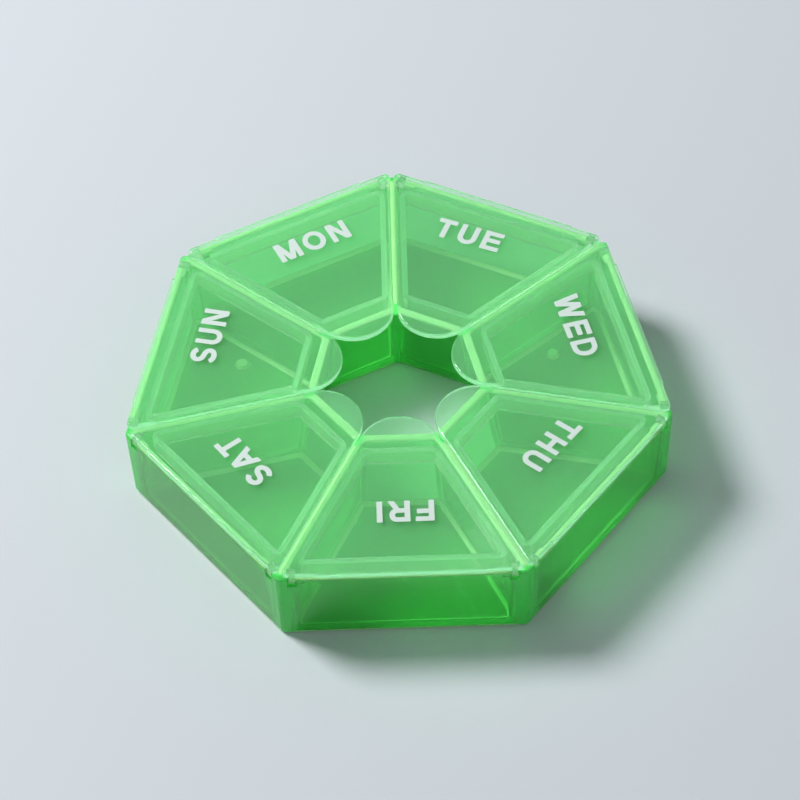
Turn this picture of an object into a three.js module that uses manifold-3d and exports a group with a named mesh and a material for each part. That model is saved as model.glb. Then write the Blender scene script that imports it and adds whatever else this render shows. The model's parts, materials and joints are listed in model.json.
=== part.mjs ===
// A weekly pill box: a seven-sided tray with a hole in the middle and seven wedge-shaped
// compartments, each closed by its own lid. A lid turns on two stub pins at its outer edge,
// and its round finger tab hangs over the hole. Millimetres, +Z up, resting on Z = 0.

import * as THREE from 'three';
import { mergeVertices } from 'three/addons/utils/BufferGeometryUtils.js';
import Module from 'manifold-3d';

const wasm = await Module();
wasm.setup();

// The days, clockwise from the corner at the back, one compartment and one lid each
const days = ['tuesday', 'wednesday', 'thursday', 'friday', 'saturday', 'sunday', 'monday'];

// The whole box, closed
const lidApothem = 44.15; // middle of the ring to a lid's straight outer edge
const closedHeight = 17.25;
const overrun = 1; // how far every cutting shape runs past what it cuts

// The tray
const outerWall = 1.2;
const innerWall = 1.5;
const divider = 1.7;
const floorThickness = 1.2;
const outerLean = 0.6; // the outer wall stands this much further in at the base
const holeApothem = 13.3; // middle of the ring to the hole's sides, at the rim
const holeLean = 2; // the hole is this much wider at the base
const compartmentLean = 0.25; // each compartment wall leans in by this at the floor
const outlineCorner = 1.2;
const holeCorner = 1;
const compartmentCorner = 1.1;
const baseRound = 0.8;
const floorRound = 0.7;
const rimRound = 0.6; // on the outer edge of the rim, under the turning lid
const rimEdge = 0.4; // on the other top edges
const holeBaseEdge = 0.4;

// The three moulding gate marks on the tray floor
const gateCount = 3;
const gateDistance = 32.5; // from the middle of the ring
const gateRadius = 1.5;
const gateHeight = 0.6;
const gateFirstAngle = Math.PI / 6;

// The lids
const lidThickness = 1.15;
const lidSeatGap = 0.25; // between a lid and the rim below it
const lidOverhang = 0.15; // how far a lid stands out past the outer wall
const lidSideGap = 0.35; // between a lid's side and the middle of the divider
const lidCorner = 0.8;
const lidTopRound = 0.3;
const lidLowerEdge = 0.12;
const tabOverhang = 3.3; // how far the tab reaches over the hole
const tabShoulder = 2.2; // where the tab's arc starts, outwards from the hole
const reliefDepth = 0.25; // the lid's outer edge steps back over its hinge
const reliefWidth = 6.2; // from the lid's corner to the step

// The skirt under a lid, which enters the compartment
const skirtDepth = 3.2;
const skirtThickness = 1.1;
const skirtClearance = 0.4; // to the dividers
const skirtCorner = 1.5;
const skirtLean = 0.1;
const skirtFromInnerWall = 1.8;
const skirtFromOuterWall = 1.4;

// The hinges: two lugs on each lid, in notches at the ends of the outer wall, each with a
// stub pin that points at the other lug and turns in a boss on the wall's inner face
const hingeSetIn = 1.1; // from the lid's outer edge in to the axis
const hingeDrop = 1.3; // from the lid's underside down to the axis
const lugRadius = 0.75;
const lugWidth = 1.1;
const lugClearance = 0.3;
const pinRadius = 0.45;
const pinLength = 1.3;
const pinClearance = 0.15;
const pinEndGap = 0.3;
const bossRadius = 0.88;
const bossLength = 1.9;
const postWidth = 1.15; // from the middle of the divider to the notch, along the axis

// Pieces joined into one moulding run into each other by this share of the plate or floor
const rootShare = 0.4;

// How finely the rounds are divided
const cornerSteps = 4;
const roundSteps = 3;
const pinSides = 16;
const tabSteps = 24;

// What follows from the sizes above
const sideCount = days.length;
const halfSector = Math.PI / sideCount;
const slope = Math.tan(halfSector);
const outlineApothem = lidApothem - lidOverhang;
const lidUnderside = closedHeight - lidThickness;
const trayHeight = lidUnderside - lidSeatGap;
const hingeX = lidApothem - hingeSetIn;
const hingeZ = lidUnderside - hingeDrop;
const notchEnd = hingeX * slope - postWidth;
const lugEnd = notchEnd - lugClearance;
const lugStart = lugEnd - lugWidth;
const notchStart = lugStart - lugClearance;

const middleAngle = (k) => Math.PI / 2 - (2 * k + 1) * halfSector;

// Turns a closed triangle mesh into a solid that can be joined and cut
function solid(geometry) {
  const bare = geometry.index ? geometry.toNonIndexed() : geometry.clone();
  bare.deleteAttribute('normal');
  bare.deleteAttribute('uv');
  const merged = mergeVertices(bare);
  const vertProperties = new Float32Array(merged.attributes.position.array);
  const triVerts = new Uint32Array(merged.index.array);
  return new wasm.Manifold(new wasm.Mesh({ numProp: 3, vertProperties, triVerts }));
}

// Turns a finished solid back into a geometry for a mesh
function geometryOf(body) {
  const mesh = body.getMesh();
  const geometry = new THREE.BufferGeometry();
  const count = mesh.vertProperties.length / mesh.numProp;
  const positions = new Float32Array(count * 3);
  for (let i = 0; i < count; i += 1) {
    for (let axis = 0; axis < 3; axis += 1) {
      positions[i * 3 + axis] = mesh.vertProperties[i * mesh.numProp + axis];
    }
  }
  geometry.setAttribute('position', new THREE.BufferAttribute(positions, 3));
  geometry.setIndex(Array.from(mesh.triVerts));
  geometry.computeVertexNormals();
  return geometry;
}

// The arc that rounds one corner of a counterclockwise outline
function cornerArc(before, corner, after, radius) {
  const back = before.clone().sub(corner).normalize();
  const onward = after.clone().sub(corner).normalize();
  const halfAngle = Math.acos(back.dot(onward)) / 2;
  const inward = back.clone().add(onward).normalize();
  const centre = corner.clone().addScaledVector(inward, radius / Math.sin(halfAngle));
  const start = corner.clone().addScaledVector(back, radius / Math.tan(halfAngle)).sub(centre);
  const turn = Math.PI - 2 * halfAngle;
  const points = [];
  for (let step = 0; step <= cornerSteps; step += 1) {
    const arm = start.clone().rotateAround(new THREE.Vector2(), (turn * step) / cornerSteps);
    points.push(centre.clone().add(arm));
  }
  return points;
}

// Rounds every corner of a counterclockwise outline
function rounded(corners, radius) {
  return corners.flatMap((corner, i) => {
    const before = corners[(i + corners.length - 1) % corners.length];
    const after = corners[(i + 1) % corners.length];
    return cornerArc(before, corner, after, radius);
  });
}

// Moves every side of a counterclockwise outline inwards by a distance
function inset(points, distance) {
  return points.map((point, i) => {
    const before = points[(i + points.length - 1) % points.length];
    const after = points[(i + 1) % points.length];
    const first = point.clone().sub(before).normalize();
    const second = after.clone().sub(point).normalize();
    const firstNormal = new THREE.Vector2(-first.y, first.x);
    const secondNormal = new THREE.Vector2(-second.y, second.x);
    const share = distance / (1 + firstNormal.dot(secondNormal));
    return point.clone().addScaledVector(firstNormal.add(secondNormal), share);
  });
}

// Skins a stack of outlines, each with its own height, into one closed body
function loft(layers) {
  const count = layers[0].points.length;
  const positions = layers.flatMap((layer) => layer.points.flatMap((p) => [p.x, p.y, layer.z]));
  const index = [];
  for (let level = 0; level < layers.length - 1; level += 1) {
    for (let i = 0; i < count; i += 1) {
      const next = (i + 1) % count;
      const low = level * count;
      const high = low + count;
      index.push(low + i, low + next, high + next, low + i, high + next, high + i);
    }
  }
  const top = (layers.length - 1) * count;
  THREE.ShapeUtils.triangulateShape(layers[0].points, []).forEach(([a, b, c]) => index.push(a, c, b));
  THREE.ShapeUtils.triangulateShape(layers[layers.length - 1].points, []).forEach(([a, b, c]) => {
    index.push(top + a, top + b, top + c);
  });
  const geometry = new THREE.BufferGeometry();
  geometry.setAttribute('position', new THREE.BufferAttribute(new Float32Array(positions), 3));
  geometry.setIndex(index);
  return solid(geometry);
}

// The steps of a quarter round: how far along it is from 0 to 1, both ways
function quarterRound(visit) {
  for (let step = 0; step <= roundSteps; step += 1) {
    const angle = (Math.PI / 2) * (step / roundSteps);
    visit(Math.sin(angle), 1 - Math.cos(angle));
  }
}

// The seven-sided outline of the tray and of its hole
function ringOutline(apothem, cornerRadius) {
  const radius = apothem / Math.cos(halfSector);
  const corners = days.map((day, k) => {
    const angle = Math.PI / 2 + 2 * k * halfSector;
    return new THREE.Vector2(radius * Math.cos(angle), radius * Math.sin(angle));
  });
  return rounded(corners, cornerRadius);
}

// A wedge between two dividers, as seen with +X pointing out of the box
function wedgeOutline(innerX, outerX, fromDividers, cornerRadius) {
  const halfWidth = (x) => x * slope - fromDividers / Math.cos(halfSector);
  const corners = [
    new THREE.Vector2(innerX, -halfWidth(innerX)),
    new THREE.Vector2(outerX, -halfWidth(outerX)),
    new THREE.Vector2(outerX, halfWidth(outerX)),
    new THREE.Vector2(innerX, halfWidth(innerX)),
  ];
  return rounded(corners, cornerRadius);
}

const wallFaceAt = (z) => outlineApothem - outerLean * (1 - z / trayHeight);
const holeFaceAt = (z) => holeApothem + holeLean * (1 - z / trayHeight);

// The tray's outer form, with a rounded base and rim
function outerForm() {
  const layers = [];
  quarterRound((rise, run) => {
    const z = baseRound * run;
    layers.push({ z, points: ringOutline(wallFaceAt(z) - baseRound * (1 - rise), outlineCorner) });
  });
  quarterRound((rise, run) => {
    const z = trayHeight - rimRound * (1 - rise);
    layers.push({ z, points: ringOutline(wallFaceAt(z) - rimRound * run, outlineCorner) });
  });
  return loft(layers);
}

// The hole in the middle, wider at the base, with its edges rounded
function holeForm() {
  const layers = [{ z: -overrun, points: ringOutline(holeFaceAt(0) + holeBaseEdge, holeCorner) }];
  quarterRound((rise, run) => {
    const z = holeBaseEdge * run;
    layers.push({ z, points: ringOutline(holeFaceAt(z) + holeBaseEdge * (1 - rise), holeCorner) });
  });
  quarterRound((rise, run) => {
    const z = trayHeight - rimEdge * (1 - rise);
    layers.push({ z, points: ringOutline(holeFaceAt(z) + rimEdge * run, holeCorner) });
  });
  const top = layers[layers.length - 1].points;
  layers.push({ z: trayHeight + overrun, points: top });
  return loft(layers);
}

// The space of one compartment, with a rounded floor edge and rim edge
function compartmentForm() {
  const depth = trayHeight - floorThickness;
  const section = (z, grow) => {
    const lean = compartmentLean * ((trayHeight - z) / depth);
    const innerX = holeFaceAt(z) + innerWall + lean - grow;
    const outerX = wallFaceAt(z) - outerWall - lean + grow;
    const corner = compartmentCorner + grow;
    return { z, points: wedgeOutline(innerX, outerX, divider / 2 + lean - grow, corner) };
  };
  const layers = [];
  quarterRound((rise, run) => {
    layers.push(section(floorThickness + floorRound * run, -floorRound * (1 - rise)));
  });
  quarterRound((rise, run) => {
    layers.push(section(trayHeight - rimEdge * (1 - rise), rimEdge * run));
  });
  const top = layers[layers.length - 1].points;
  layers.push({ z: trayHeight + overrun, points: top });
  return loft(layers);
}

// A round bar along the hinge axis of the wedge that points along +X
function hingeBar(radius, start, end) {
  const bar = new THREE.CylinderGeometry(radius, radius, end - start, pinSides);
  bar.translate(hingeX, (start + end) / 2, hingeZ);
  return solid(bar);
}

// The notch in the outer wall that a lug turns in
function notchForm() {
  const bottom = hingeZ - lugRadius - lugClearance;
  const inner = hingeX - lugRadius - lugClearance;
  const outer = lidApothem + overrun;
  const top = trayHeight + overrun;
  const box = new THREE.BoxGeometry(outer - inner, notchEnd - notchStart, top - bottom);
  box.translate((inner + outer) / 2, (notchStart + notchEnd) / 2, (bottom + top) / 2);
  return solid(box);
}

const mirrored = (body) => body.mirror([0, 1, 0]);
const turned = (body, angle) => body.rotate([0, 0, THREE.MathUtils.radToDeg(angle)]);

// The low round mark that the mould's gate leaves on the floor
function gateMark(angle) {
  const height = gateHeight + floorThickness * rootShare;
  const mark = new THREE.CylinderGeometry(gateRadius - gateHeight, gateRadius, height, pinSides);
  mark.rotateX(Math.PI / 2);
  const z = floorThickness + gateHeight - height / 2;
  mark.translate(gateDistance * Math.cos(angle), gateDistance * Math.sin(angle), z);
  return solid(mark);
}

function makeTray() {
  let tray = outerForm().subtract(holeForm());
  const compartment = compartmentForm();
  const boss = hingeBar(bossRadius, notchStart - bossLength, notchStart);
  const notch = notchForm();
  const socketEnd = lugStart - pinLength - pinEndGap;
  const socket = hingeBar(pinRadius + pinClearance, socketEnd, notchStart + overrun);
  days.forEach((day, k) => {
    tray = tray.subtract(turned(compartment, middleAngle(k)));
  });
  days.forEach((day, k) => {
    [boss, mirrored(boss)].forEach((body) => {
      tray = tray.add(turned(body, middleAngle(k)));
    });
  });
  days.forEach((day, k) => {
    [notch, mirrored(notch), socket, mirrored(socket)].forEach((body) => {
      tray = tray.subtract(turned(body, middleAngle(k)));
    });
  });
  for (let gate = 0; gate < gateCount; gate += 1) {
    tray = tray.add(gateMark(gateFirstAngle + (gate * 2 * Math.PI) / gateCount));
  }
  return tray;
}

// The plan of a lid: straight sides, a round tab inside, and a step over each hinge
function lidOutline() {
  const halfWidth = (x) => x * slope - lidSideGap / Math.cos(halfSector);
  const backX = lidApothem - reliefDepth;
  const stepY = halfWidth(backX) - reliefWidth;
  const step = new THREE.Vector2(backX, stepY);
  const corner = new THREE.Vector2(backX, halfWidth(backX));
  const shoulderX = holeApothem + tabShoulder;
  const shoulder = new THREE.Vector2(shoulderX, halfWidth(shoulderX));
  const half = [new THREE.Vector2(lidApothem, stepY), step, ...cornerArc(step, corner, shoulder, lidCorner)];
  const tipX = holeApothem - tabOverhang;
  const depth = shoulderX - tipX;
  const radius = (shoulder.y ** 2 + depth ** 2) / (2 * depth);
  const centreX = tipX + radius;
  const reach = Math.atan2(shoulder.y, centreX - shoulderX);
  const tab = [];
  for (let i = 0; i <= tabSteps; i += 1) {
    const angle = Math.PI - reach + (2 * reach * i) / tabSteps;
    tab.push(new THREE.Vector2(centreX + radius * Math.cos(angle), radius * Math.sin(angle)));
  }
  const otherHalf = half.map((p) => new THREE.Vector2(p.x, -p.y)).reverse();
  return [...half, ...tab, ...otherHalf];
}

// The flat plate of a lid, its top edge rounded
function lidPlate() {
  const outline = lidOutline();
  const layers = [
    { z: lidUnderside, points: inset(outline, lidLowerEdge) },
    { z: lidUnderside + lidLowerEdge, points: outline },
  ];
  quarterRound((rise, run) => {
    const z = closedHeight - lidTopRound * (1 - rise);
    layers.push({ z, points: inset(outline, lidTopRound * run) });
  });
  return loft(layers);
}

// The skirt: a thin wall that follows the compartment's outline
function lidSkirt() {
  const innerX = holeApothem + innerWall + skirtFromInnerWall;
  const outerX = outlineApothem - outerWall - skirtFromOuterWall;
  const fromDividers = divider / 2 + skirtClearance;
  const ring = (shrink) => {
    const corner = skirtCorner - shrink;
    return wedgeOutline(innerX + shrink, outerX - shrink, fromDividers + shrink, corner);
  };
  const bottom = lidUnderside - skirtDepth;
  const outer = loft([
    { z: bottom, points: ring(skirtLean) },
    { z: lidUnderside + lidThickness * rootShare, points: ring(0) },
  ]);
  const inner = loft([
    { z: bottom - overrun, points: ring(skirtThickness - skirtLean) },
    { z: lidUnderside, points: ring(skirtThickness) },
  ]);
  return outer.subtract(inner);
}

// A hinge lug, hanging from the plate and round about the axis, with its stub pin
function lidLug() {
  const top = hingeDrop + lidThickness * rootShare;
  const profile = new THREE.Shape();
  profile.moveTo(lugRadius, top);
  profile.lineTo(-lugRadius, top);
  profile.lineTo(-lugRadius, 0);
  profile.absarc(0, 0, lugRadius, Math.PI, 2 * Math.PI);
  const lug = new THREE.ExtrudeGeometry(profile, {
    depth: lugWidth,
    bevelEnabled: false,
    curveSegments: pinSides / 2,
  });
  lug.rotateX(Math.PI / 2);
  lug.translate(hingeX, lugEnd, hingeZ);
  return solid(lug).add(hingeBar(pinRadius, lugStart - pinLength, lugStart + lugWidth / 2));
}

function makeLid() {
  const lug = lidLug();
  return lidPlate().add(lidSkirt()).add(lug).add(mirrored(lug));
}

const trayPlastic = new THREE.MeshStandardMaterial({
  color: 0x4fb45a,
  roughness: 0.3,
  metalness: 0,
  transparent: true,
  opacity: 0.75,
});
const lidPlastic = () => new THREE.MeshStandardMaterial({
  color: 0xd3e9d6,
  roughness: 0.35,
  metalness: 0,
  transparent: true,
  opacity: 0.55,
});

const ring = new THREE.Group();

const tray = new THREE.Mesh(geometryOf(makeTray()), trayPlastic);
tray.name = 'tray';
ring.add(tray);

// Each lid's own frame lies on its hinge axis, so that turning it opens the lid
const lidGeometry = geometryOf(makeLid());
lidGeometry.translate(-hingeX, 0, -hingeZ);
days.forEach((day, k) => {
  const sector = new THREE.Group();
  sector.rotation.z = middleAngle(k);
  const lid = new THREE.Mesh(lidGeometry, lidPlastic());
  lid.name = `lid_${day}`;
  lid.position.set(hingeX, 0, hingeZ);
  sector.add(lid);
  ring.add(sector);
});

// The origin is the middle of the box's base
ring.updateMatrixWorld(true);
const middle = new THREE.Box3().setFromObject(ring, true).getCenter(new THREE.Vector3());
ring.position.set(-middle.x, -middle.y, 0);

const group = new THREE.Group();
group.add(ring);

export default group;
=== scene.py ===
import json
from functools import reduce
from math import cos, radians, sin

import bpy
from mathutils import Matrix, Vector
from mathutils.geometry import delaunay_2d_cdt


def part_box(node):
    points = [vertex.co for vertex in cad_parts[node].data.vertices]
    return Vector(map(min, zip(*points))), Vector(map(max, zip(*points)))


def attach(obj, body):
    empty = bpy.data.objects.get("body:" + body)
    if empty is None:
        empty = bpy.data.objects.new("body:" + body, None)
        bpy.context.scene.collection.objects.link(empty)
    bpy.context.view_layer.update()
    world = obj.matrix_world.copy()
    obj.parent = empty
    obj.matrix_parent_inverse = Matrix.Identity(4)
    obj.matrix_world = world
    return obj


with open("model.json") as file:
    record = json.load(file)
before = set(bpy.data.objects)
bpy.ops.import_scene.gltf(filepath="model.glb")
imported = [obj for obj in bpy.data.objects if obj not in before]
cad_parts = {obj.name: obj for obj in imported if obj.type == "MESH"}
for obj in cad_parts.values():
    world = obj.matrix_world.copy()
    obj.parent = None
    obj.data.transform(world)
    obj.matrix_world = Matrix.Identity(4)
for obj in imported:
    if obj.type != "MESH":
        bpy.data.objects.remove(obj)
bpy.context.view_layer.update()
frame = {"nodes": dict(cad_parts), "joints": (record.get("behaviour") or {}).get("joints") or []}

MM = 0.001
UP = Vector((0, 0, 1))

# The camera, measured from the middle of the ring of compartments
CAMERA_AZIMUTH = radians(0.4032)
CAMERA_ELEVATION = radians(49.725)
CAMERA_ROLL = radians(-2.2048)
CAMERA_DISTANCE = 654.3 * MM
AIM_RIGHT = 0.04 * MM
AIM_UP = 6.18 * MM
SENSOR_WIDTH = 36.0
FOCAL_PIXELS = 3664.9
FRAME_PIXELS = 800

# The lamps: (place, diameter, watts), then the sky and the floor
LAMPS = {
    "key": ((-0.7, 0.4, 0.85), 0.4, 14),
    "fill": ((0.6, -0.8, 0.9), 0.8, 0.9),
}
SKY_COLOUR = (0.9, 0.95, 1)
SKY_STRENGTH = 0.26
FLOOR_COLOUR = (0.62, 0.66, 0.7)
FLOOR_ROUGHNESS = 0.7
FLOOR_REACH = 3.0
FLOOR_DROP = 0.01 * MM

# Enough bounces for light that crosses many thin walls
WALL_BOUNCES = 32
GLOSSY_BOUNCES = 16
VOLUME_BOUNCES = 12

# What the two plastics share: faint flow marks in colour and surface, and a fine grain
REFRACTION = 1.49
SPECULAR_LEVEL = 0.3
FLOW_SCALE = 60
FLOW_DETAIL = 3
GRAIN_SCALE = 900
GRAIN_DETAIL = 4
ROUGHNESS_SHARES = (0.6, 1.5)
BUMP_STRENGTH = 0.02
BUMP_DEPTH = 0.05 * MM
SMOOTH_BELOW = radians(32)
MERGE_DISTANCE = 0.001 * MM
FLAT_WEIGHT = 100

# Places painted paler, as painted light that gathers in the rim, base edge and corners, and as
# painted highlights on the floors' edges and gate marks: where each starts and where it is full
BASE_EDGE = (1.0 * MM, 0.5 * MM)  # height
RIM = (15.2 * MM, 15.6 * MM)  # height
FLOOR_EDGE = (2.0 * MM, 1.8 * MM)  # height of the rounding round a compartment's floor
ROUNDING = (0.1, 0.22)  # slant of its faces, 0 when level or upright and 0.5 at the most
OUTER_CORNER = (47.0 * MM, 47.7 * MM)  # distance from the middle of the ring
HOLE_CORNER = (17.3 * MM, 17.0 * MM)  # distance from the middle of the ring
HOLE_CORNER_SPREAD = (0.94, 0.985)  # 1 is straight towards a corner of the hole
GATE_SPOT = (1.8 * MM, 1.2 * MM)  # distance from the middle of a gate mark
SKIRT = (16.05 * MM, 15.9 * MM)  # height of what hangs below a lid's plate

# The gate marks, and how strongly each kind of place is painted pale and less clear, as painted
# light, beside the floors' edges and marks
GATE_DISTANCE = 32.5 * MM
GATE_TOP = 1.8 * MM
GATE_ANGLES = [radians(30), radians(150), radians(270)]
PAINTED_GLOW_TRANSMISSION = 0.3
RIM_GLOW_SHARE = 0.8
EDGE_GLOW_SHARE = 0.55  # the base edge and the corners
SKIRT_GLOW_SHARE = 0.2

# The printed labels. Letters are drawn in units of their height
CAP_HEIGHT = 4.5 * MM
STROKE = 0.215
SLANT = 1.12  # a slanting stroke is this much wider along the line of text
ARC_STEPS = 14
INK_THICKNESS = 0.03 * MM
INK_GAP = 0.015 * MM
INK_COLOURS = ((0.62, 0.74, 0.68), (0.72, 0.82, 0.77))
INK_SPECKLE = 2500
INK_DETAIL = 2
INK_ROUGHNESS = 0.5
LABELS = {
    # body: (word, distance from the middle of the ring, distance to the side, turn)
    "lid_monday": ("MON", 34.9 * MM, -0.55 * MM, radians(0.0)),
    "lid_tuesday": ("TUE", 34.7 * MM, 1.6 * MM, radians(2.6)),
    "lid_wednesday": ("WED", 33.1 * MM, 2.1 * MM, radians(0.8)),
    "lid_thursday": ("THU", 31.3 * MM, 2.55 * MM, radians(-1.0)),
    "lid_friday": ("FRI", 31.25 * MM, 0.7 * MM, radians(0.4)),
    "lid_saturday": ("SAT", 32.7 * MM, -1.8 * MM, radians(-2.0)),
    "lid_sunday": ("SUN", 34.3 * MM, -2.1 * MM, radians(0.0)),
}

# The letters' widths and the gaps between them, then the proportions of single letters
WIDTHS = {
    "A": 0.96, "D": 0.84, "E": 0.77, "F": 0.71, "H": 0.78, "I": STROKE, "M": 0.96,
    "N": 0.80, "O": 0.94, "R": 0.85, "S": 0.79, "T": 0.77, "U": 0.78, "W": 1.23,
}
LETTER_GAP = 0.2
PAIR_GAPS = {"SA": 0.11, "AT": 0.03, "HU": 0.24, "UE": 0.24, "UN": 0.22}
MID_HEIGHT = 0.5
OVERSHOOT = 0.015  # round letters stand out this much past flat ones
BAR_HEIGHT = 0.52
SHORT_BAR = 0.05  # the middle bars of E and F stop this much before the others
LOW_BAR_HEIGHT = 0.31
LOW_BAR_INSET = 0.25  # the bar of A starts and ends this share of the width from its sides
W_FOOT = 0.34
U_BOWL_HEIGHT = 0.37
D_FLAT = 0.38
R_FLAT = 0.5
R_WAIST = 0.46
R_BOWL = 0.79
S_BOWLS = (
    # height of the middle, half width, half height, first and last angle
    (0.711, 0.2525, 0.211, 18, 262),
    (0.289, 0.2775, 0.196, 82, -162),
)

# How letters are joined into one mesh: only what the strokes cover is kept
PATCH_CORNERS = 4
COVERED_ONLY = 1
SAME_POINT = 1e-5

hinges = {joint["child"]: joint for joint in frame["joints"]}
hinge_points = [Vector(hinge["pos_m"]) for hinge in hinges.values()]
ring_middle = sum(hinge_points, Vector()) / len(hinge_points)
ring_middle.z = 0


def add_camera():
    """The photograph's view: a long lens, looking down at the front of the box."""
    back = Vector((
        sin(CAMERA_AZIMUTH) * cos(CAMERA_ELEVATION),
        -cos(CAMERA_AZIMUTH) * cos(CAMERA_ELEVATION),
        sin(CAMERA_ELEVATION),
    ))
    level_right = Vector((cos(CAMERA_AZIMUTH), sin(CAMERA_AZIMUTH), 0))
    level_up = back.cross(level_right)
    right = cos(CAMERA_ROLL) * level_right + sin(CAMERA_ROLL) * level_up
    up = cos(CAMERA_ROLL) * level_up - sin(CAMERA_ROLL) * level_right
    camera = bpy.data.objects.new("camera", bpy.data.cameras.new("camera"))
    camera.data.sensor_width = SENSOR_WIDTH
    camera.data.lens = FOCAL_PIXELS * SENSOR_WIDTH / FRAME_PIXELS
    turn = Matrix((right, up, back)).transposed().to_4x4()
    place = ring_middle + CAMERA_DISTANCE * back + AIM_RIGHT * right + AIM_UP * up
    camera.matrix_world = Matrix.Translation(place) @ turn
    bpy.context.scene.collection.objects.link(camera)
    bpy.context.scene.camera = camera


class Material:
    """An empty node material, whose methods add nodes and return the socket of the result."""

    def __init__(self, name):
        self.data = bpy.data.materials.new(name)
        self.data.use_nodes = True
        self.nodes = self.data.node_tree.nodes
        self.nodes.clear()
        self.link = self.data.node_tree.links.new
        self.place = self.nodes.new("ShaderNodeTexCoord").outputs["Object"]

    def noise(self, scale, detail):
        """Soft noise from 0 to 1."""
        node = self.nodes.new("ShaderNodeTexNoise")
        node.inputs["Scale"].default_value = scale
        node.inputs["Detail"].default_value = detail
        self.link(self.place, node.inputs["Vector"])
        return node.outputs["Fac"]

    def ramp(self, value, ends, results=(0, 1)):
        """A value taken from one range to another, and held at its ends."""
        node = self.nodes.new("ShaderNodeMapRange")
        node.inputs["From Min"].default_value, node.inputs["From Max"].default_value = ends
        node.inputs["To Min"].default_value, node.inputs["To Max"].default_value = results
        self.link(value, node.inputs["Value"])
        return node.outputs["Result"]

    def maths(self, operation, first, second=0):
        """A sum on a socket and a second socket or number."""
        node = self.nodes.new("ShaderNodeMath")
        node.operation = operation
        self.link(first, node.inputs[0])
        if isinstance(second, (int, float)):
            node.inputs[1].default_value = second
        else:
            self.link(second, node.inputs[1])
        return node.outputs["Value"]

    def largest(self, *values):
        """The largest of several sockets."""
        return reduce(lambda first, second: self.maths("MAXIMUM", first, second), values)

    def vector(self, operation, first, second, result="Vector"):
        """A sum on a vector socket and a plain vector."""
        node = self.nodes.new("ShaderNodeVectorMath")
        node.operation = operation
        self.link(first, node.inputs[0])
        node.inputs[1].default_value = second
        return node.outputs[result]

    def length_along(self, vector, axes):
        """The length of a vector socket along the axes that are 1."""
        kept = self.vector("MULTIPLY", vector, axes)
        return self.vector("DISTANCE", kept, (0, 0, 0), "Value")

    def blend(self, share, first, second):
        """A mix of two colours, the first a socket or a plain one, the second a plain one."""
        node = self.nodes.new("ShaderNodeMix")
        node.data_type = "RGBA"
        self.link(share, node.inputs["Factor"])
        if isinstance(first, tuple):
            node.inputs["A"].default_value = (*first, 1)
        else:
            self.link(first, node.inputs["A"])
        node.inputs["B"].default_value = (*second, 1)
        return node.outputs["Result"]


def tray_painted_glow(material):
    """Masks of the tray's edges and marks and of its corners, painted pale as painted light and
    painted highlights, then how strongly each is painted.
    """
    from_middle = material.vector("SUBTRACT", material.place, ring_middle)
    split = material.nodes.new("ShaderNodeSeparateXYZ")
    material.link(from_middle, split.inputs["Vector"])
    x, y, height = split.outputs
    radius = material.length_along(from_middle, (1, 1, 0))
    rim = material.ramp(height, RIM)
    base_edge = material.ramp(height, BASE_EDGE)

    around = material.maths("MULTIPLY", material.maths("ARCTAN2", x, y), len(hinges))
    toward_corner = material.ramp(material.maths("COSINE", around), HOLE_CORNER_SPREAD)
    hole_corner = material.maths("MULTIPLY", material.ramp(radius, HOLE_CORNER), toward_corner)
    corners = material.largest(material.ramp(radius, OUTER_CORNER), hole_corner)

    # painted highlights: the rounded edges of the compartments' floors and the gate marks are
    # painted pale
    normal = material.nodes.new("ShaderNodeNewGeometry").outputs["True Normal"]
    upright = material.length_along(normal, (0, 0, 1))
    slope = material.maths("MULTIPLY", upright, material.length_along(normal, (1, 1, 0)))
    rounding = material.ramp(slope, ROUNDING)
    marks = material.maths("MULTIPLY", rounding, material.ramp(height, FLOOR_EDGE))
    for angle in GATE_ANGLES:
        gate = (GATE_DISTANCE * cos(angle), GATE_DISTANCE * sin(angle), GATE_TOP)
        away = material.vector("DISTANCE", from_middle, gate, "Value")
        marks = material.largest(marks, material.ramp(away, GATE_SPOT))
    # painted light: the rim, the base edge and the corners are paler and less clear, as if light
    # gathered in them
    rim_glow_share = material.maths("MULTIPLY", rim, RIM_GLOW_SHARE)
    edge_glow_share = material.maths("MULTIPLY", material.largest(base_edge, corners), EDGE_GLOW_SHARE)
    pale = (material.largest(rim, base_edge, marks), corners)
    return pale, material.largest(rim_glow_share, edge_glow_share, marks)


def skirt_painted_glow(material):
    """A mask of what hangs below a lid's plate, painted paler as a painted band of light, then
    how strongly it is painted.
    """
    split = material.nodes.new("ShaderNodeSeparateXYZ")
    material.link(material.place, split.inputs["Vector"])
    # painted light: the skirt is painted paler and less clear than the rest of the lid
    skirt = material.ramp(split.outputs["Z"], SKIRT)
    return (skirt,), material.maths("MULTIPLY", skirt, SKIRT_GLOW_SHARE)


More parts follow.
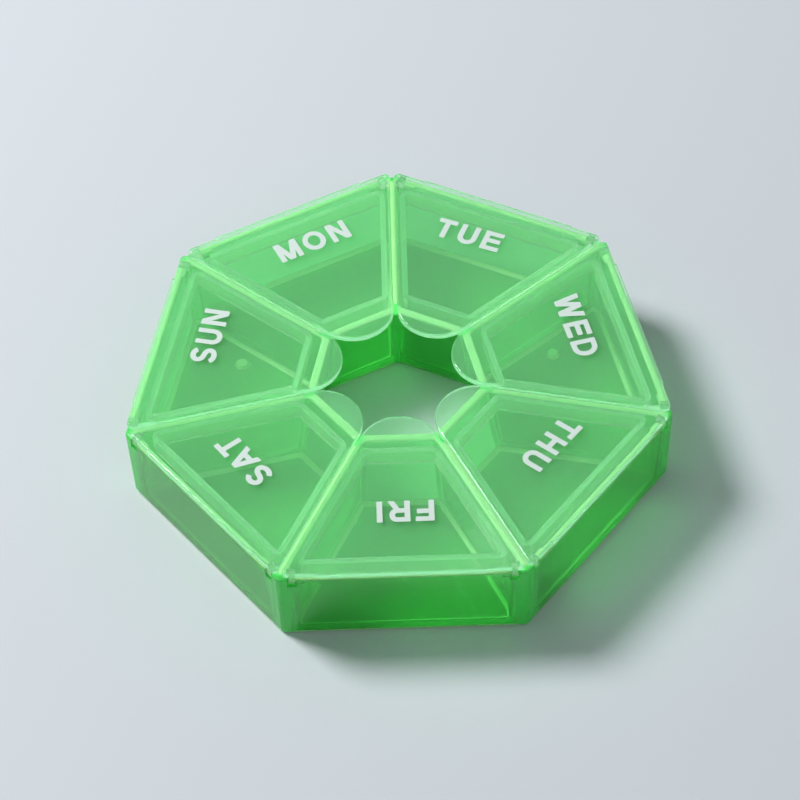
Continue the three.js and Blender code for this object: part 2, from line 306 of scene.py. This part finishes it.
def plastic(name, colours, passed, body, haze, transmission, roughness, painted_glow, painted_glow_colours):
    """Moulded translucent plastic, deeper in colour where it is thick.

    It has two surface colours, the colour of light that passes into its shadow, the colour and
    density of what its inside absorbs and scatters, a function that finds where light is painted
    in as paler, less clear places, and a painted colour for each mask of those.
    """
    material = Material(name)
    nodes, link = material.nodes, material.link
    output = nodes.new("ShaderNodeOutputMaterial")
    shader = nodes.new("ShaderNodeBsdfPrincipled")
    shader.inputs["IOR"].default_value = REFRACTION
    shader.inputs["Specular IOR Level"].default_value = SPECULAR_LEVEL

    through = nodes.new("ShaderNodeBsdfTransparent")
    through.inputs["Color"].default_value = (*passed, 1)
    surface = nodes.new("ShaderNodeMixShader")
    link(nodes.new("ShaderNodeLightPath").outputs["Is Shadow Ray"], surface.inputs["Fac"])
    link(shader.outputs["BSDF"], surface.inputs[1])
    link(through.outputs["BSDF"], surface.inputs[2])
    link(surface.outputs["Shader"], output.inputs["Surface"])

    inside = nodes.new("ShaderNodeAddShader")
    parts = {"ShaderNodeVolumeScatter": haze, "ShaderNodeVolumeAbsorption": body}
    for socket, (kind, (colour, density)) in zip(inside.inputs, parts.items()):
        volume = nodes.new(kind)
        volume.inputs["Color"].default_value = (*colour, 1)
        volume.inputs["Density"].default_value = density
        link(volume.outputs["Volume"], socket)
    link(inside.outputs["Shader"], output.inputs["Volume"])

    flow = material.noise(FLOW_SCALE, FLOW_DETAIL)
    tint = material.blend(flow, *colours)
    # painted light: a paler tint and a less clear surface where the masks say light gathers or
    # highlights fall
    pale, glow_share = painted_glow(material)
    for mask, colour in zip(pale, painted_glow_colours):
        tint = material.blend(mask, tint, colour)
    link(tint, shader.inputs["Base Color"])
    clear = material.ramp(glow_share, (0, 1), (transmission, PAINTED_GLOW_TRANSMISSION))
    link(clear, shader.inputs["Transmission Weight"])
    grain = material.noise(GRAIN_SCALE, GRAIN_DETAIL)
    uneven = [share * roughness for share in ROUGHNESS_SHARES]
    link(material.ramp(grain, (0, 1), uneven), shader.inputs["Roughness"])
    bump = nodes.new("ShaderNodeBump")
    bump.inputs["Strength"].default_value = BUMP_STRENGTH
    bump.inputs["Distance"].default_value = BUMP_DEPTH
    link(flow, bump.inputs["Height"])
    link(bump.outputs["Normal"], shader.inputs["Normal"])
    return material.data


def ink(name):
    """Opaque white ink, a little uneven where it was printed."""
    material = Material(name)
    output = material.nodes.new("ShaderNodeOutputMaterial")
    shader = material.nodes.new("ShaderNodeBsdfPrincipled")
    shader.inputs["Roughness"].default_value = INK_ROUGHNESS
    material.link(shader.outputs["BSDF"], output.inputs["Surface"])
    tint = material.blend(material.noise(INK_SPECKLE, INK_DETAIL), *INK_COLOURS)
    material.link(tint, shader.inputs["Base Color"])
    return material.data


def smoothing(name, angle):
    """A modifier group that shades smooth over all edges flatter than an angle."""
    group = bpy.data.node_groups.new(name, "GeometryNodeTree")
    group.interface.new_socket("Geometry", in_out="INPUT", socket_type="NodeSocketGeometry")
    group.interface.new_socket("Geometry", in_out="OUTPUT", socket_type="NodeSocketGeometry")
    nodes = group.nodes
    link = group.links.new
    source = nodes.new("NodeGroupInput")
    result = nodes.new("NodeGroupOutput")
    merge = nodes.new("GeometryNodeMergeByDistance")
    merge.inputs["Distance"].default_value = MERGE_DISTANCE
    smooth = nodes.new("GeometryNodeSetShadeSmooth")
    sharp = nodes.new("GeometryNodeSetShadeSmooth")
    sharp.domain = "EDGE"
    sharp.inputs["Shade Smooth"].default_value = False
    bend = nodes.new("GeometryNodeInputMeshEdgeAngle")
    compare = nodes.new("FunctionNodeCompare")
    compare.operation = "GREATER_THAN"
    compare.inputs["B"].default_value = angle
    link(source.outputs[0], merge.inputs["Geometry"])
    link(merge.outputs["Geometry"], smooth.inputs["Geometry"])
    link(smooth.outputs["Geometry"], sharp.inputs["Geometry"])
    link(bend.outputs["Unsigned Angle"], compare.inputs["A"])
    link(compare.outputs["Result"], sharp.inputs["Selection"])
    link(sharp.outputs["Geometry"], result.inputs[0])
    return group


def dress_node(node, material, smoother):
    """Gives a CAD node its material and smooth shading that leaves flat faces flat."""
    piece = frame["nodes"][node]
    piece.data.materials.clear()
    piece.data.materials.append(material)
    smooth = piece.modifiers.new("smooth", "NODES")
    smooth.node_group = smoother
    flatten = piece.modifiers.new("flatten", "WEIGHTED_NORMAL")
    flatten.weight = FLAT_WEIGHT
    flatten.keep_sharp = True


def arc(centre, radii, first, last):
    """Points along an elliptical arc from one angle to another, in degrees."""
    points = []
    for step in range(ARC_STEPS + 1):
        angle = radians(first + (last - first) * step / ARC_STEPS)
        points.append((centre[0] + radii[0] * cos(angle), centre[1] + radii[1] * sin(angle)))
    return points


def left_of(leg):
    """The direction a quarter turn to the left of a line."""
    return Vector((-leg.y, leg.x)).normalized()


def stroke(points, closed=False):
    """The patches of one pen stroke along a line, with mitred bends."""
    line = [Vector(point) for point in points]
    rails = []
    for i, point in enumerate(line):
        sides = []
        if i or closed:
            sides.append(left_of(point - line[i - 1]))
        if closed or i + 1 < len(line):
            sides.append(left_of(line[(i + 1) % len(line)] - point))
        across = sum(sides, Vector((0, 0)))
        across *= STROKE / 2 * len(sides) / across.dot(across)
        rails.append((point - across, point + across))
    patches = [(a, c, d, b) for (a, b), (c, d) in zip(rails, rails[1:])]
    if closed:
        (a, b), (c, d) = rails[-1], rails[0]
        patches.append((a, c, d, b))
    return patches


def stem(x):
    """The patch of an upright stroke of full height."""
    return stroke([(x, 0), (x, 1)])


def slant(foot, head):
    """The patch of a slanting stroke, cut level at its foot and its head."""
    half = Vector((STROKE * SLANT / 2, 0))
    foot, head = Vector(foot), Vector(head)
    return [(foot - half, foot + half, head + half, head - half)]


def letter(name):
    """The patches of one capital, one unit high, its left edge at zero."""
    width = WIDTHS[name]
    middle = width / 2
    half = STROKE / 2
    left, right, top = half, width - half, 1 - half
    left_slant = STROKE * SLANT / 2
    right_slant = width - left_slant
    if name == "I":
        return stem(left)
    if name == "T":
        return stroke([(0, top), (width, top)]) + stroke([(middle, 0), (middle, top)])
    if name in "EF":
        bar = stroke([(left, BAR_HEIGHT), (width - SHORT_BAR, BAR_HEIGHT)])
        foot = [(width, half), (left, half)] if name == "E" else [(left, 0)]
        return bar + stroke([*foot, (left, top), (width, top)])
    if name == "H":
        return stem(left) + stem(right) + stroke([(left, BAR_HEIGHT), (right, BAR_HEIGHT)])
    if name == "N":
        return stem(left) + stem(right) + slant((right_slant, 0), (left_slant, 1))
    if name == "M":
        valley = slant((middle, 0), (left_slant, 1)) + slant((middle, 0), (right_slant, 1))
        return stem(left) + stem(right) + valley
    if name == "W":
        outer = slant((W_FOOT, 0), (left_slant, 1)) + slant((width - W_FOOT, 0), (right_slant, 1))
        return outer + slant((W_FOOT, 0), (middle, 1)) + slant((width - W_FOOT, 0), (middle, 1))
    if name == "A":
        legs = slant((left_slant, 0), (middle, 1)) + slant((right_slant, 0), (middle, 1))
        bar_ends = (width * LOW_BAR_INSET, width * (1 - LOW_BAR_INSET))
        return legs + stroke([(x, LOW_BAR_HEIGHT) for x in bar_ends])
    if name == "U":
        radii = (middle - half, U_BOWL_HEIGHT + OVERSHOOT - half)
        bowl = arc((middle, U_BOWL_HEIGHT), radii, 180, 360)
        return stroke([(left, 1), *bowl, (right, 1)])
    if name == "D":
        bowl = arc((D_FLAT, MID_HEIGHT), (right - D_FLAT, MID_HEIGHT - half), 90, -90)
        return stroke([(left, half), (left, top), *bowl], closed=True)
    if name == "O":
        radii = (middle - half, MID_HEIGHT + OVERSHOOT - half)
        ring = arc((middle, MID_HEIGHT), radii, 0, 360)
        return stroke(ring[:-1], closed=True)
    if name == "R":
        centre = (R_FLAT, (top + R_WAIST) / 2)
        bowl = arc(centre, (R_BOWL - R_FLAT - half, (top - R_WAIST) / 2), 90, -90)
        leg = slant((right_slant, 0), (R_WAIST, R_WAIST))
        return stem(left) + stroke([(left, top), *bowl, (left, R_WAIST)]) + leg
    if name == "S":
        line = []
        for height, half_width, half_height, first, last in S_BOWLS:
            line += arc((middle, height), (half_width, half_height), first, last)
        return stroke(line)
    raise ValueError(name)


def word_mesh(word):
    """A word's letters joined into one flat mesh, centred, in units of its height."""
    corners = []
    cursor = 0
    for i, name in enumerate(word):
        shift = Vector((cursor, 0))
        corners += [corner + shift for patch in letter(name) for corner in patch]
        cursor += WIDTHS[name] + PAIR_GAPS.get(word[i:i + 2], LETTER_GAP)
    starts = range(0, len(corners), PATCH_CORNERS)
    outlines = [range(start, start + PATCH_CORNERS) for start in starts]
    joined = delaunay_2d_cdt(corners, [], outlines, COVERED_ONLY, SAME_POINT)
    points, _, faces, _, _, sources = joined
    faces = [face for face, source in zip(faces, sources) if source]
    width = max(point.x for point in points)
    mesh = bpy.data.meshes.new(f"label_{word.lower()}")
    centred = [(point.x - width / 2, point.y - MID_HEIGHT, 0) for point in points]
    mesh.from_pydata(centred, [], faces)
    return mesh


def add_label(body, word, distance, sideways, turn, material):
    """A printed day on a lid, its letters' tops toward the lid's hinge."""
    mesh = word_mesh(word)
    label = bpy.data.objects.new(f"label_{body.removeprefix('lid_')}", mesh)
    bpy.context.scene.collection.objects.link(label)
    outward = Vector(hinges[body]["axis"]).cross(UP)
    along = UP.cross(outward)
    centre = ring_middle + distance * outward + sideways * along
    centre.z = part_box(body)[1][2] + INK_GAP
    place = Matrix((-along, outward, UP)).transposed().to_4x4()
    scale = Matrix.Scale(CAP_HEIGHT, 4)
    mesh.transform(Matrix.Translation(centre) @ place @ Matrix.Rotation(turn, 4, "Z") @ scale)
    solidify = label.modifiers.new("ink", "SOLIDIFY")
    solidify.thickness = INK_THICKNESS
    solidify.offset = 1
    mesh.materials.append(material)
    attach(label, body)


def add_floor():
    """A plain pale floor, wide enough for every view."""
    mesh = bpy.data.meshes.new("floor")
    reach = FLOOR_REACH
    corners = [(-reach, -reach, 0), (reach, -reach, 0), (reach, reach, 0), (-reach, reach, 0)]
    mesh.from_pydata(corners, [], [(0, 1, 2, 3)])
    floor = bpy.data.objects.new("floor", mesh)
    floor.location.z = -FLOOR_DROP
    bpy.context.scene.collection.objects.link(floor)
    material = Material("floor")
    output = material.nodes.new("ShaderNodeOutputMaterial")
    shader = material.nodes.new("ShaderNodeBsdfPrincipled")
    shader.inputs["Base Color"].default_value = (*FLOOR_COLOUR, 1)
    shader.inputs["Roughness"].default_value = FLOOR_ROUGHNESS
    material.link(shader.outputs["BSDF"], output.inputs["Surface"])
    mesh.materials.append(material.data)


def add_lamp(name, place, size, energy):
    """A soft round lamp that points at the box."""
    data = bpy.data.lights.new(name, "AREA")
    data.shape = "DISK"
    data.size = size
    data.energy = energy
    lamp = bpy.data.objects.new(name, data)
    lamp.location = place
    lamp.rotation_euler = (-Vector(place)).to_track_quat("-Z", "Y").to_euler()
    bpy.context.scene.collection.objects.link(lamp)


def add_sky():
    """A plain pale sky with soft light from all sides."""
    world = bpy.data.worlds.new("sky")
    world.use_nodes = True
    sky = world.node_tree.nodes["Background"]
    sky.inputs["Color"].default_value = (*SKY_COLOUR, 1)
    sky.inputs["Strength"].default_value = SKY_STRENGTH
    bpy.context.scene.world = world


def allow_bounces():
    """Lets light cross the many thin walls of the box."""
    cycles = bpy.context.scene.cycles
    cycles.max_bounces = WALL_BOUNCES
    cycles.transmission_bounces = WALL_BOUNCES
    cycles.transparent_max_bounces = WALL_BOUNCES
    cycles.glossy_bounces = GLOSSY_BOUNCES
    cycles.volume_bounces = VOLUME_BOUNCES


add_camera()
tray_plastic = plastic(
    "green_polypropylene",
    colours=((0.32, 0.95, 0.38), (0.28, 0.92, 0.34)),
    passed=(0.06, 0.17, 0.07),
    body=((0.3, 0.96, 0.42), 340),
    haze=((0.92, 0.9985, 0.86), 270),
    transmission=0.97,
    roughness=0.004,
    painted_glow=tray_painted_glow,
    # painted light: the pale colour of the rim, base edge, floor edges and gate marks, then the
    # bright green of the corners
    painted_glow_colours=((0.56, 0.97, 0.45), (0.14, 0.9, 0.2)),
)
lid_plastic = plastic(
    "milky_polypropylene",
    colours=((0.86, 0.99, 0.9), (0.8, 0.98, 0.85)),
    passed=(0.82, 0.96, 0.86),
    body=((0.3, 0.96, 0.45), 145),
    haze=((0.44, 0.998, 0.56), 340),
    transmission=0.985,
    roughness=0.004,
    painted_glow=skirt_painted_glow,
    # painted light: the pale colour of the skirt band
    painted_glow_colours=((0.8, 0.99, 0.7),),
)
white_ink = ink("white_ink")
smoother = smoothing("smooth_by_angle", SMOOTH_BELOW)
for name in frame["nodes"]:
    dress_node(name, tray_plastic if name == "tray" else lid_plastic, smoother)
for body, label in LABELS.items():
    add_label(body, *label, white_ink)
add_floor()
for name, lamp in LAMPS.items():
    add_lamp(name, *lamp)
add_sky()
allow_bounces()
bpy.context.scene.view_settings.view_transform = "Standard"
